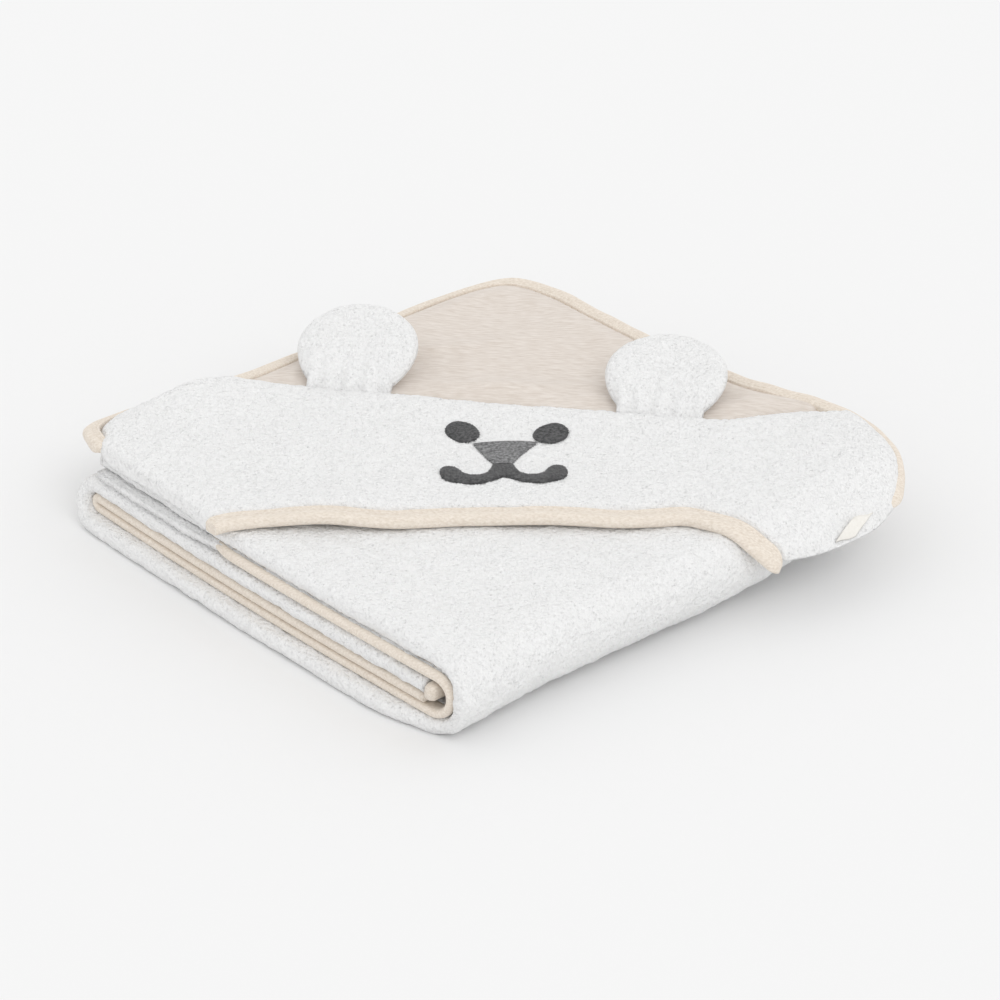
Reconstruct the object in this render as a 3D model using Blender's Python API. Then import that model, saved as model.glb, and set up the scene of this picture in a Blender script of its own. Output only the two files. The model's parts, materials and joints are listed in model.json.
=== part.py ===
"""Hooded baby towel, folded into a packet with its bear-eared hood on top.

The towel lies flat on Z = 0, hood tip towards +Y.  P runs along the folds' cross direction
(towards the front right fold) and Q along the folds (towards the back right side).
"""

import math

import bmesh
import bpy
from mathutils import Matrix, Vector

# ---- driving dimensions, metres -------------------------------------------------------------
CENTRE = (0.003743, -0.007376, 0.0)  # puts the origin under the middle of the bounding box
SIDE = 0.330            # side of the folded packet
HEIGHT = 0.050          # thickness of the packet without its hood
FOLD_THICK = 0.0104     # two terry plies joined by a fold, outer side of each bundle
PLY_THICK = 0.0045      # the bound terry ply on the inner side of each bundle
GAP = 0.0003            # clearance between touching pieces
LEFT_TURN = 0.0163      # outer radius of the turn at the left side
LEFT_BULGE = 0.010      # how far that turn stands out past the side of the packet
NEAR_INSET = 0.013      # how far the open end draws back at the near corner
TAPE = 0.010            # visible width of the binding tape
LIFT = 0.020            # how far the right corner stands off the floor
LIFT_REACH = 0.130      # how far from that corner the lift begins

CROWN_THICK = 0.0050
FACE_THICK = 0.0070
HEM_THICK = 0.0078
HOOD_UNDER = HEIGHT + 0.0006
HOOD_TURN = math.radians(-4.8)      # the hood lies slightly askew on the packet
SEAM_Y = 0.069                      # crown to face seam, where it crosses X = 0
BRIM_HALF = 0.125                   # half width of the part of the brim that lifts
WING_LEFT = -0.2120                 # outer ends of the two side parts, in hood coordinates
WING_RIGHT = 0.2275
WING_MARGIN = 0.0016                # clearance between a side part and the edge binding
SEAM_GAP = 0.0007                   # clearance along the curved seam
SEAM_RIGHT = 0.186                  # where the seam meets the hood's edge at the right
HEM_LEFT = [(-0.1310, -0.1562), (-0.1350, -0.1590), (-0.1400, -0.1650), (-0.1450, -0.1730)]
HEM_RIGHT = [(0.1290, -0.1086), (0.1455, -0.1128), (0.1660, -0.1220), (0.1866, -0.1290)]
WING_RIGHT_EDGE = [(0.2000, -0.1130), (0.2180, -0.0800), (0.2280, -0.0480)]
HINGE_Z = HOOD_UNDER + FACE_THICK / 2

EAR_RADIUS = 0.0362
EAR_CENTRE = 0.0270                 # ear's centre from its base seam
EAR_BASE = 0.0015
EAR_PLY = 0.0044
EAR_AXIS_Z = 0.0628
EARS = {"left": (-0.0895, math.radians(17.0)), "right": (0.0965, math.radians(12.0))}

FACE_AT = (0.0090, 0.0020)          # middle of the embroidered face, and its turn
FACE_TURN = math.radians(8.0)
EYE_CENTRE = (0.0257, 0.0245)
EYE_SIZE = (0.0270, 0.0180)
EYE_TILT = 28                       # degrees that each oval leans outwards at its top
NOSE = [(-0.0180, 0.0128), (0.0180, 0.0128), (0.0062, -0.0105), (-0.0062, -0.0105)]
MOUTH_TOP = [(0.0, -0.0110), (0.0058, -0.0123), (0.0072, -0.0172), (0.0095, -0.0221), (0.0140, -0.0247),
             (0.0200, -0.0245), (0.0240, -0.0220), (0.0265, -0.0175), (0.0290, -0.0147), (0.0318, -0.0138),
             (0.0345, -0.0145), (0.0363, -0.0170), (0.0374, -0.0202)]
MOUTH_BOTTOM = [(0.0, -0.0273), (0.0030, -0.0292), (0.0060, -0.0312), (0.0100, -0.0335), (0.0140, -0.0350),
                (0.0190, -0.0355), (0.0240, -0.0345), (0.0300, -0.0325), (0.0340, -0.0298),
                (0.0363, -0.0262), (0.0374, -0.0225)]

# outer edge of the hood, from its left end round the tip to its right end
HOOD_EDGE = [
    (-0.2290, 0.0140), (-0.2385, 0.0270), (-0.2290, 0.0480), (-0.2000, 0.0650),
    (-0.1610, 0.0900), (-0.1200, 0.1340), (-0.0790, 0.1820), (-0.0450, 0.2210),
    (-0.0100, 0.2380), (0.0250, 0.2230), (0.0570, 0.1920), (0.1000, 0.1500),
    (0.1450, 0.1140), (0.1930, 0.0880), (0.2190, 0.0640), (0.2350, 0.0270), (0.2330, 0.0020),
]

TERRY_WHITE = (0.88, 0.88, 0.87)
OATMEAL = (0.78, 0.70, 0.62)
TAPE_CREAM = (0.82, 0.74, 0.64)
CHARCOAL = (0.10, 0.10, 0.105)
GREY_THREAD = (0.21, 0.21, 0.215)
LABEL_CREAM = (0.84, 0.80, 0.74)

HALF = SIDE / 2
COMMON_RUN = 0.150      # the strips share their cross rows over this run at the back
ROOT2 = math.sqrt(2.0)


# ---- small helpers --------------------------------------------------------------------------
def clear_scene():
    for old in list(bpy.data.objects):
        bpy.data.objects.remove(old, do_unlink=True)


def make_material(name, colour, roughness):
    material = bpy.data.materials.new(name)
    material.use_nodes = True
    shader = material.node_tree.nodes["Principled BSDF"]
    shader.inputs["Base Color"].default_value = (*colour, 1.0)
    shader.inputs["Roughness"].default_value = roughness
    shader.inputs["Metallic"].default_value = 0.0
    return material


def add_object(name, mesh, colour, roughness=0.95, parent=None, origin=(0.0, 0.0, 0.0)):
    """Links a mesh made in the towel's own coordinates, with its origin moved to `origin`."""
    mesh.transform(Matrix.Translation(-Vector(origin)))
    obj = bpy.data.objects.new(name, mesh)
    obj.data.materials.append(make_material(name, colour, roughness))
    TOWEL.objects.link(obj)
    obj.parent = parent or ROOT
    obj.location = Vector(origin) - (parent.location if parent else Vector())
    return obj


def add_pivot(name, location):
    pivot = bpy.data.objects.new(name, None)
    pivot.empty_display_size = 0.02
    TOWEL.objects.link(pivot)
    pivot.parent = ROOT
    pivot.location = location
    return pivot


def bent_block(name, cells_u, cells_v, place):
    """A gridded block, one cell thick, whose vertices (u, v, w in 0..1) are moved by place()."""
    bm = bmesh.new()
    bmesh.ops.create_grid(bm, x_segments=cells_u, y_segments=cells_v, size=0.5)
    raised = bmesh.ops.extrude_face_region(bm, geom=bm.faces[:], use_keep_orig=True)
    for item in raised["geom"]:
        if isinstance(item, bmesh.types.BMVert):
            item.co.z = 1.0
    for vert in bm.verts:
        vert.co = place(vert.co.x + 0.5, vert.co.y + 0.5, vert.co.z)
    bmesh.ops.triangulate(bm, faces=bm.faces[:], quad_method="FIXED")
    bmesh.ops.recalc_face_normals(bm, faces=bm.faces[:])
    mesh = bpy.data.meshes.new(name)
    bm.to_mesh(mesh)
    bm.free()
    return mesh


def smooth(t):
    t = min(max(t, 0.0), 1.0)
    return t * t * (3.0 - 2.0 * t)


def to_xy(p, q):
    return (p + q) / ROOT2, (q - p) / ROOT2


def to_pq(x, y):
    return (x - y) / ROOT2, (x + y) / ROOT2


def lifted(x, y, z):
    """The right corner of the packet stands off the floor; its plies press together there."""
    p, q = to_pq(x, y)
    reach = math.hypot(HALF - p, HALF - q)
    rise = LIFT * (1.0 - smooth(reach / LIFT_REACH))
    return Vector((x, y, z + rise * max(0.0, 1.0 - z / HEIGHT)))


# ---- the folded body ------------------------------------------------------------------------
def wound_section(depth):
    """Centre-free section of the wound strip, `depth` inside its outer skin, as (p, z)."""
    big = HEIGHT / 2
    small = LEFT_TURN
    left = -HALF - LEFT_BULGE + small
    points = [(HALF - big - 0.006, 2 * small - depth)]
    for step in range(11):
        angle = math.radians(90 + 18 * step)
        radius = small - depth
        points.append((left + radius * math.cos(angle), small + radius * math.sin(angle)))
    for step in range(13):
        angle = math.radians(-90 + 15 * step)
        radius = big - depth
        points.append((HALF - big + radius * math.cos(angle), big + radius * math.sin(angle)))
    points.append((-HALF + 0.001, HEIGHT - depth))
    return points


def open_end(p):
    """Q of the open end of the strip, which draws back towards the near corner."""
    along = (p + HALF) / SIDE
    return -HALF + NEAR_INSET * along * abs(along)


def fold_end(p, z):
    """The folds reach further out at the bottom of the stack than at its top."""
    return open_end(p) - 0.007 + 0.011 * z / HEIGHT


def tape_end(p, z):
    return open_end(p) + 0.001


def ply_end(p, z):
    return tape_end(p, z) + TAPE + GAP


def back_end(p, z):
    return HALF


def wound_strip(name, depth_out, depth_in, start, end, cells_q):
    outer = wound_section(depth_out)
    inner = wound_section(depth_in)
    count = len(outer) - 1

    def place(u, v, w):
        row = round(u * count)
        a, b = outer[row], inner[row]
        p = a[0] + (b[0] - a[0]) * w
        z = a[1] + (b[1] - a[1]) * w
        row = round(v * cells_q)
        if row == 0:
            q = start(p, z)
        else:
            q = end(p, z) - COMMON_RUN * (cells_q - row) / max(cells_q - 1, 1)
        x, y = to_xy(p, q)
        return lifted(x, y, z)

    return bent_block(name, count, cells_q, place)


def build_body():
    ply_from = FOLD_THICK + GAP
    ply_to = ply_from + PLY_THICK
    fold = wound_strip("towel_body", 0.0, FOLD_THICK, fold_end, back_end, 8)
    add_object("towel_body", fold, TERRY_WHITE)
    ply = wound_strip("towel_inner_ply", ply_from, ply_to, ply_end, back_end, 8)
    add_object("towel_inner_ply", ply, TERRY_WHITE)
    tape = wound_strip("body_edge_binding", ply_from, ply_to, tape_end,
                       lambda p, z: tape_end(p, z) + TAPE, 1)
    add_object("body_edge_binding", tape, TAPE_CREAM, 0.9)
    build_corner_binding()


def build_corner_binding():
    """The bound end of the towel, seen inside the turn at the near corner."""
    low = 2 * LEFT_TURN - FOLD_THICK
    start = HALF - HEIGHT / 2 - 0.006 + GAP

    def place(u, v, w):
        x, y = to_xy(start + 0.0082 * u, open_end(start) + 0.001 + 0.100 * v)
        return lifted(x, y, low + FOLD_THICK * w)

    mesh = bent_block("body_end_binding", 1, 4, place)
    add_object("body_end_binding", mesh, TAPE_CREAM, 0.9)


# ---- the hood -------------------------------------------------------------------------------
def hood_to_world(x, y):
    c, s = math.cos(HOOD_TURN), math.sin(HOOD_TURN)
    return x * c - y * s, SEAM_Y + x * s + y * c


def world_to_hood(x, y):
    c, s = math.cos(HOOD_TURN), math.sin(HOOD_TURN)
    y = y - SEAM_Y
    return x * c + y * s, -x * s + y * c


def under_hood(x, y):
    """Height of the hood's underside: flat on the packet, drooping past its two side corners."""
    p, q = to_pq(x, y)
    big = HEIGHT / 2
    past_fold = max(p - (HALF - big), 0.0)
    round_part = min(past_fold, 0.6 * big)
    z = HOOD_UNDER - (big - math.sqrt(big * big - round_part * round_part))
    z -= 0.75 * (past_fold - round_part)
    past_left = max(-p - HALF, 0.0)
    return z - 11.0 * past_left * past_left


def on_hood(x, y, height):
    return lifted(x, y, under_hood(x, y) + height)


def spline(points, per_span=6):
    """Catmull-Rom curve through points."""
    ends = [points[0]] + points + [points[-1]]
    curve = []
    for k in range(1, len(ends) - 2):
        a, b, c, d = (Vector(ends[k + j]) for j in (-1, 0, 1, 2))
        for step in range(per_span):
            t = step / per_span
            curve.append(
                0.5 * (2 * b + (c - a) * t + (2 * a - 5 * b + 4 * c - d) * t * t
                       + (3 * b - a - 3 * c + d) * t * t * t)
            )
    curve.append(Vector(points[-1]))
    return curve


def inset(curve, distance):
    """Each point moved to the right of the curve's direction."""
    moved = []
    for k, point in enumerate(curve):
        ahead = curve[min(k + 1, len(curve) - 1)] - curve[max(k - 1, 0)]
        side = Vector((ahead.y, -ahead.x)).normalized()
        moved.append(point + side * distance)
    return moved


def height_at(curve, x):
    """y of a left-to-right curve at x, taking its highest crossing."""
    x = min(max(x, min(p.x for p in curve) + 1e-5), max(p.x for p in curve) - 1e-5)
    best = None
    for a, b in zip(curve, curve[1:]):
        low, high = min(a.x, b.x), max(a.x, b.x)
        if low <= x <= high and high > low:
            y = a.y + (b.y - a.y) * (x - a.x) / (b.x - a.x)
            best = y if best is None else max(best, y)
    return best


def strip_along(name, outer, inner, thickness):
    """A tape between two matching curves given in world coordinates."""
    count = len(outer) - 1

    def place(u, v, w):
        row = round(u * count)
        point = outer[row] + (inner[row] - outer[row]) * v
        return on_hood(point.x, point.y, thickness * w)

    return bent_block(name, count, 1, place)


def panel(name, x_from, x_to, low, high, cells, thickness):
    """A hood panel between two edges low(x) and high(x), in hood coordinates."""

    def place(u, v, w):
        hx = x_from + (x_to - x_from) * u
        bottom, top = low(hx), high(hx)
        x, y = hood_to_world(hx, bottom + (top - bottom) * v)
        return on_hood(x, y, thickness * w)

    return bent_block(name, cells[0], cells[1], place)


def hem_line(hx):
    """Front edge of the terry brim, in hood coordinates."""
    return -0.1310 + 0.190 * hx


def left_wing_low(hx):
    """The left wing ends along the packet's front left side."""
    t = (hx - WING_LEFT) / (-BRIM_HALF - WING_LEFT)
    return -0.0680 + (-0.1548 + 0.0680) * t ** 0.85


def right_wing_low(hx):
    """The right wing follows the hem's end, then turns up along the front right fold."""
    return height_at(spline([Vector(p) for p in HEM_RIGHT + WING_RIGHT_EDGE]), hx) + 0.0018


def seam_rise(hx):
    """The seam runs straight between the ears, then climbs to the edge at the right."""
    return 0.0190 * smooth((hx - 0.128) / (SEAM_RIGHT - 0.128))


def build_hood():
    edge = spline(HOOD_EDGE)
    tape = strip_along("hood_perimeter_binding", edge, inset(edge, TAPE), CROWN_THICK)
    add_object("hood_perimeter_binding", tape, TAPE_CREAM, 0.9)

    hidden_edge = [Vector(world_to_hood(*p)) for p in inset(edge, TAPE + 2 * GAP)]

    def crown_low(hx):
        return seam_rise(hx) + SEAM_GAP

    def crown_top(hx):
        return max(height_at(hidden_edge, hx), crown_low(hx) + 0.002)

    def wing_top(hx):
        edge_there = height_at(hidden_edge, hx) - WING_MARGIN
        return min(seam_rise(hx) - SEAM_GAP, edge_there) if hx < SEAM_RIGHT + 0.006 else edge_there

    crown = panel("hood_crown", -0.150, SEAM_RIGHT, crown_low, crown_top, (30, 6), CROWN_THICK)
    add_object("hood_crown", crown, OATMEAL, 0.9)
    left = panel("hood_face_left", WING_LEFT, -BRIM_HALF - GAP, left_wing_low, wing_top,
                 (16, 6), FACE_THICK)
    add_object("hood_face_left", left, TERRY_WHITE)
    right = panel("hood_face_right", BRIM_HALF + GAP, WING_RIGHT, right_wing_low, wing_top,
                  (20, 16), FACE_THICK)
    add_object("hood_face_right", right, TERRY_WHITE)


def build_brim():
    """The middle of the terry brim, its hem and the embroidery lift together about the seam."""
    x, y = hood_to_world(0.0, 0.0)
    pivot = add_pivot("brim_pivot", (x, y, HINGE_Z))
    face = panel("hood_face_centre", -BRIM_HALF, BRIM_HALF, hem_line, lambda hx: -GAP,
                 (16, 8), FACE_THICK)
    add_object("hood_face_centre", face, TERRY_WHITE, 0.95, pivot, pivot.location)
    hem = panel("hem_binding_centre", -BRIM_HALF, BRIM_HALF, lambda hx: hem_line(hx) - TAPE - GAP,
                lambda hx: hem_line(hx) - GAP, (16, 1), HEM_THICK)
    add_object("hem_binding_centre", hem, TAPE_CREAM, 0.9, pivot, pivot.location)
    build_embroidery(pivot)


def build_hem_ends():
    for name, path in (("hem_binding_left", HEM_LEFT[::-1]), ("hem_binding_right", HEM_RIGHT)):
        curve = [Vector(hood_to_world(*point)) for point in spline([Vector(p) for p in path], 4)]
        strip = strip_along(name, curve, inset(curve, TAPE), HEM_THICK)
        add_object(name, strip, TAPE_CREAM, 0.9)


# ---- embroidery -----------------------------------------------------------------------------
def stitched(name, mesh, parent, colour=CHARCOAL):
    """Turns flat embroidery, made round its own origin, on to the face."""
    top = HOOD_UNDER + FACE_THICK + GAP
    mesh.transform(Matrix.Translation((*FACE_AT, top)) @ Matrix.Rotation(FACE_TURN, 4, "Z"))
    add_object(name, mesh, colour, 0.6, parent, parent.location)


def disc(name, centre, size, turn):
    bm = bmesh.new()
    bmesh.ops.create_cone(bm, cap_ends=True, segments=28, radius1=0.5, radius2=0.5, depth=1.0)
    bmesh.ops.transform(bm, verts=bm.verts[:], matrix=(
        Matrix.Translation((*centre, size[2] / 2)) @ Matrix.Rotation(turn, 4, "Z")
        @ Matrix.Diagonal((*size, 1.0))))
    mesh = bpy.data.meshes.new(name)
    bm.to_mesh(mesh)
    bm.free()
    return mesh


def flat_outline(name, points, thickness):
    """A filled flat curve, extruded to its thickness and standing on Z = 0."""
    data = bpy.data.curves.new(name, "CURVE")
    data.dimensions = "2D"
    data.fill_mode = "BOTH"
    data.extrude = thickness / 2
    line = data.splines.new("POLY")
    line.points.add(len(points) - 1)
    for point, (x, y) in zip(line.points, points):
        point.co = (x, y, 0.0, 1.0)
    line.use_cyclic_u = True
    holder = bpy.data.objects.new(name, data)
    bpy.context.scene.collection.objects.link(holder)
    bpy.context.view_layer.update()
    mesh = bpy.data.meshes.new_from_object(holder.evaluated_get(bpy.context.evaluated_depsgraph_get()))
    bpy.data.objects.remove(holder, do_unlink=True)
    bpy.data.curves.remove(data)
    mesh.name = name
    bm = bmesh.new()
    bm.from_mesh(mesh)
    bmesh.ops.remove_doubles(bm, verts=bm.verts[:], dist=1e-6)
    bmesh.ops.translate(bm, verts=bm.verts[:], vec=(0.0, 0.0, thickness / 2))
    bmesh.ops.recalc_face_normals(bm, faces=bm.faces[:])
    bm.to_mesh(mesh)
    bm.free()
    return mesh


def level_at(profile, x):
    """Height of a piecewise straight profile at x."""
    for (ax, ay), (bx, by) in zip(profile, profile[1:]):
        if ax <= x <= bx:
            return ay + (by - ay) * (x - ax) / (bx - ax)
    return profile[-1][1]


def mouth_mesh(name, thickness):
    """A satin-stitched W: two upturned, rounded ends and two troughs that meet under the nose."""
    reach, cells = MOUTH_TOP[-1][0], 32

    def place(u, v, w):
        x = reach * (2.0 * round(u * cells) / cells - 1.0)
        top, bottom = level_at(MOUTH_TOP, abs(x)), level_at(MOUTH_BOTTOM, abs(x))
        return Vector((x, bottom + (top - bottom) * v, thickness * w))

    return bent_block(name, cells, 1, place)


def build_embroidery(parent):
    for side, name in ((-1, "eye_left"), (1, "eye_right")):
        turn = math.radians(90 - EYE_TILT * side)
        eye = disc(name, (side * EYE_CENTRE[0], EYE_CENTRE[1]), (*EYE_SIZE, 0.0012), turn)
        stitched(name, eye, parent)
    stitched("nose", flat_outline("nose", NOSE, 0.0012), parent, GREY_THREAD)
    stitched("mouth", mouth_mesh("mouth", 0.0014), parent)


# ---- ears and label -------------------------------------------------------------------------
def ear_outline():
    points = []
    for step in range(33):
        angle = math.radians(-47 + 274 * step / 32)
        x, y = EAR_RADIUS * math.cos(angle), EAR_CENTRE + EAR_RADIUS * math.sin(angle)
        points.append((x, max(y, EAR_BASE)))
    return points


def build_ears():
    for side, (hx, lean) in EARS.items():
        x, y = hood_to_world(hx, 0.0)
        pivot = add_pivot("ear_pivot_" + side, (x, y, EAR_AXIS_Z))
        pose = (Matrix.Translation(pivot.location) @ Matrix.Rotation(HOOD_TURN, 4, "Z")
                @ Matrix.Rotation(lean, 4, "X"))
        for cloth, base in (("back", -EAR_PLY - GAP / 2), ("front", GAP / 2)):
            name = "ear_" + side + "_" + cloth
            mesh = flat_outline(name, ear_outline(), EAR_PLY)
            mesh.transform(pose @ Matrix.Translation((0.0, 0.0, base)))
            add_object(name, mesh, TERRY_WHITE, 0.95, pivot, pivot.location)


def build_label():
    """A blank loop label sewn into the edge under the right wing."""

    def place(u, v, w):
        x, y = to_xy(0.1655 + 0.0010 * w, 0.118 + 0.022 * u)
        return Vector((x, y, 0.0230 + 0.0110 * v))

    add_object("side_label", bent_block("side_label", 2, 2, place), LABEL_CREAM, 0.8)


def main():
    build_body()
    build_hood()
    build_hem_ends()
    build_brim()
    build_ears()
    build_label()


clear_scene()
TOWEL = bpy.data.collections.new("hooded_baby_towel")
bpy.context.scene.collection.children.link(TOWEL)
ROOT = bpy.data.objects.new("towel_origin", None)
ROOT.empty_display_size = 0.05
ROOT.location = CENTRE
TOWEL.objects.link(ROOT)
main()
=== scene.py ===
"""Looks of the folded hooded baby towel: terry, jersey, tape, ears and embroidery."""

import json
import math

import bpy
import numpy as np
from mathutils import Matrix, Vector
from mathutils.geometry import delaunay_2d_cdt


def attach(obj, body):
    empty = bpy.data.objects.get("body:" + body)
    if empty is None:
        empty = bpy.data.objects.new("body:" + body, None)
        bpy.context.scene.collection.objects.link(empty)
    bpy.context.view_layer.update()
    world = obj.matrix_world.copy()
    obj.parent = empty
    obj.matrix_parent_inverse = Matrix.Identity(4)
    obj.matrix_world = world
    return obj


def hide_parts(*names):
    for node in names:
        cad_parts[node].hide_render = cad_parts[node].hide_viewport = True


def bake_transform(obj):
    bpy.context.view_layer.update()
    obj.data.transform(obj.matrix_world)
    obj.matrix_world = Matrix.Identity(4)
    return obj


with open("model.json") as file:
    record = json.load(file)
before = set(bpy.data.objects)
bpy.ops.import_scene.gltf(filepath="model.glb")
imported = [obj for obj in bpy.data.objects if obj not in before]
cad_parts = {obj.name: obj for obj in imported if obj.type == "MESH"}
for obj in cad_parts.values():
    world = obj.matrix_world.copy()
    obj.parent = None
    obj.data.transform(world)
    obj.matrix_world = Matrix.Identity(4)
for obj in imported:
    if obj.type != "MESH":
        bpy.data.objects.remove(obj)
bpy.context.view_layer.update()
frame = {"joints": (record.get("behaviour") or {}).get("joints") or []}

# ---- shared sizes, metres (the CAD's own dimensions) ----------------------------------------
SIDE, HEIGHT = 0.330, 0.050
HALF, BIG = SIDE / 2, HEIGHT / 2
SMALL = 0.0163
LEFT_BULGE = 0.010
NEAR_INSET = 0.013
LIFT, LIFT_REACH = 0.020, 0.130
TAPE = 0.010
SEAM_Y = 0.069
HOOD_TURN = math.radians(-4.8)
HOOD_UNDER = HEIGHT + 0.0006
SEAM_Z = 0.0541
ROOT2 = math.sqrt(2.0)
JOINTS = {j["name"]: j for j in frame["joints"]}
SHIFT = Vector(JOINTS["brim_lift"]["pos_m"]) - Vector((0.0, SEAM_Y, SEAM_Z))

# The hood's bound edge in plan, from the left wing's tip round the crown to the right wing's.
HOOD_EDGE = [
    (-0.2255, -0.0065), (-0.2325, 0.0025), (-0.2370, 0.0125), (-0.2385, 0.0250), (-0.2290, 0.0480),
    (-0.2000, 0.0650), (-0.1610, 0.0900), (-0.1200, 0.1340), (-0.0790, 0.1820), (-0.0450, 0.2210),
    (-0.0100, 0.2380), (0.0250, 0.2230), (0.0570, 0.1920), (0.1000, 0.1500), (0.1450, 0.1140),
    (0.1930, 0.0880), (0.2190, 0.0640), (0.2370, 0.0270), (0.2385, 0.0020), (0.2345, -0.0120),
]
# The terry face's outer ends in hood coordinates, and its left edge in the packet's (p, q).
HEM_LEFT = [(-0.1360, -0.1648), (-0.1300, -0.1598), (-0.1222, -0.1558)]
HEM_RIGHT = [(0.1455, -0.1112), (0.1650, -0.1172), (0.1830, -0.1222)]
WING_RIGHT_EDGE = [(0.1995, -0.1098), (0.2155, -0.0948), (0.2315, -0.0757), (0.2415, -0.0510)]
WING_LEFT_EDGE = [(-0.1540, -0.1618), (-0.1450, -0.1634), (-0.1300, -0.1636),
                  (-0.1000, -0.1630), (-0.0700, -0.1630), (-0.0540, -0.1636)]
# Distances off the middle between the still wings and the lifting brim.
BLEND_OUT, BLEND_IN = 0.130, 0.050


# ---- small maths ----------------------------------------------------------------------------
def smooth(t):
    t = np.clip(t, 0.0, 1.0)
    return t * t * (3.0 - 2.0 * t)


def bell(x, centre, width):
    return np.exp(-((x - centre) / width) ** 2)


def to_xy(p, q):
    return (p + q) / ROOT2, (q - p) / ROOT2


def to_pq(x, y):
    return (x - y) / ROOT2, (x + y) / ROOT2


def hood_to_plan(x, y):
    c, s = math.cos(HOOD_TURN), math.sin(HOOD_TURN)
    return x * c - y * s, SEAM_Y + x * s + y * c


def plan_to_hood(x, y):
    c, s = math.cos(HOOD_TURN), math.sin(HOOD_TURN)
    return x * c + (y - SEAM_Y) * s, -x * s + (y - SEAM_Y) * c


def lifted(x, y, z):
    """The right corner of the packet stands off the floor."""
    p, q = to_pq(x, y)
    reach = np.hypot(HALF - p, HALF - q)
    rise = LIFT * (1.0 - smooth(reach / LIFT_REACH))
    return z + rise * np.maximum(0.0, 1.0 - z / HEIGHT)


def under_hood(x, y):
    """Height of the hood's underside: flat on the packet, drooping past its side corners."""
    p, q = to_pq(x, y)
    past = np.maximum(p - (HALF - BIG), 0.0)
    arc = np.minimum(past, 0.6 * BIG)
    z = HOOD_UNDER - (BIG - np.sqrt(BIG * BIG - arc * arc)) - 0.75 * (past - arc)
    over = np.maximum(-q - (HALF - 0.0035), 0.0) * smooth((-0.030 - p) / 0.03)
    return z - 11.0 * np.maximum(-p - HALF, 0.0) ** 2 - 2.6 * over ** 2 / (over + 0.0022)


def hashed(i, j, seed):
    """Repeatable random numbers in 0..1 for whole-number cells."""
    h = (i.astype(np.int64) * 374761393 + j.astype(np.int64) * 668265263 + seed * 144665) & 0x7FFFFFFF
    h = ((h ^ (h >> 13)) * 1274126177) & 0x7FFFFFFF
    h = ((h ^ (h >> 16)) * 668265263) & 0x7FFFFFFF
    return ((h ^ (h >> 15)) & 0xFFFFF) / float(0xFFFFF)


def value_noise(a, b, scale, seed):
    """Smooth noise, -1..1, with features of about `scale` metres."""
    a, b = a / scale, b / scale
    i, j = np.floor(a), np.floor(b)
    u, v = smooth(a - i), smooth(b - j)
    low = hashed(i, j, seed) * (1 - u) + hashed(i + 1, j, seed) * u
    high = hashed(i, j + 1, seed) * (1 - u) + hashed(i + 1, j + 1, seed) * u
    return 2.0 * (low * (1 - v) + high * v) - 1.0


def tufts(a, b, pitch, seed):
    """Height 0..1 of a field of loops, one in each jittered cell of the given pitch."""
    a, b = a / pitch, b / pitch
    i, j = np.floor(a), np.floor(b)
    height = np.zeros_like(a)
    for di in (-1, 0, 1):
        for dj in (-1, 0, 1):
            ci, cj = i + di, j + dj
            x = ci + 0.15 + 0.7 * hashed(ci, cj, seed)
            y = cj + 0.15 + 0.7 * hashed(ci, cj, seed + 1)
            tall = 0.45 + 0.55 * hashed(ci, cj, seed + 2)
            near = 1.0 - ((a - x) ** 2 + (b - y) ** 2) / 0.62
            height = np.maximum(height, tall * np.sqrt(np.maximum(near, 0.0)))
    return height


def terry_pile(a, b, seed):
    """Loops of cotton terry standing on the cloth, in metres."""
    fine = tufts(a, b, 0.0021, seed)
    coarse = value_noise(a, b, 0.0085, seed + 5)
    mid = value_noise(a, b, 0.0042, seed + 7)
    return 0.00105 * fine + 0.00030 * coarse + 0.00030 * mid


def spline(points, per_span=8):
    """Catmull-Rom curve through points, as an array."""
    pts = np.array([points[0], *points, points[-1]], float)
    out = []
    t = np.arange(per_span)[:, None] / per_span
    for k in range(1, len(pts) - 2):
        a, b, c, d = pts[k - 1], pts[k], pts[k + 1], pts[k + 2]
        out.append(0.5 * (2 * b + (c - a) * t + (2 * a - 5 * b + 4 * c - d) * t ** 2
                          + (3 * b - a - 3 * c + d) * t ** 3))
    out.append(pts[-2][None])
    return np.concatenate(out)


def resample(curve, step, closed=False):
    """The same curve with evenly spaced points."""
    pts = np.vstack([curve, curve[:1]]) if closed else curve
    run = np.concatenate([[0], np.cumsum(np.linalg.norm(np.diff(pts, axis=0), axis=1))])
    count = max(int(round(run[-1] / step)), 3)
    at = np.linspace(0, run[-1], count + 1)
    new = np.stack([np.interp(at, run, pts[:, k]) for k in range(pts.shape[1])], 1)
    return new[:-1] if closed else new


def right_sides(curve):
    """Unit vectors to the right of a plan curve's direction."""
    ahead = np.gradient(curve, axis=0)
    side = np.stack([ahead[:, 1], -ahead[:, 0]], 1)
    return side / np.maximum(np.linalg.norm(side, axis=1), 1e-12)[:, None]


def from_edge(points, outline):
    """Distance of each plan point from a closed outline."""
    a, b = outline, np.roll(outline, -1, axis=0)
    ab = b - a
    length = np.maximum((ab ** 2).sum(1), 1e-16)
    best = np.full(len(points), 1e9)
    for k in range(0, len(points), 4000):
        part = points[k:k + 4000, None, :]
        t = np.clip(((part - a) * ab).sum(2) / length, 0, 1)
        best[k:k + 4000] = np.linalg.norm(part - a - t[..., None] * ab, axis=2).min(1)
    return best


def inside(points, outline):
    """Which plan points lie inside a closed outline."""
    x, y = points[:, 0], points[:, 1]
    hit = np.zeros(len(points), bool)
    for (ax, ay), (bx, by) in zip(outline, np.roll(outline, -1, axis=0)):
        crosses = (ay > y) != (by > y)
        if ay != by:
            hit ^= crosses & (x < ax + (bx - ax) * (y - ay) / (by - ay))
    return hit


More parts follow.
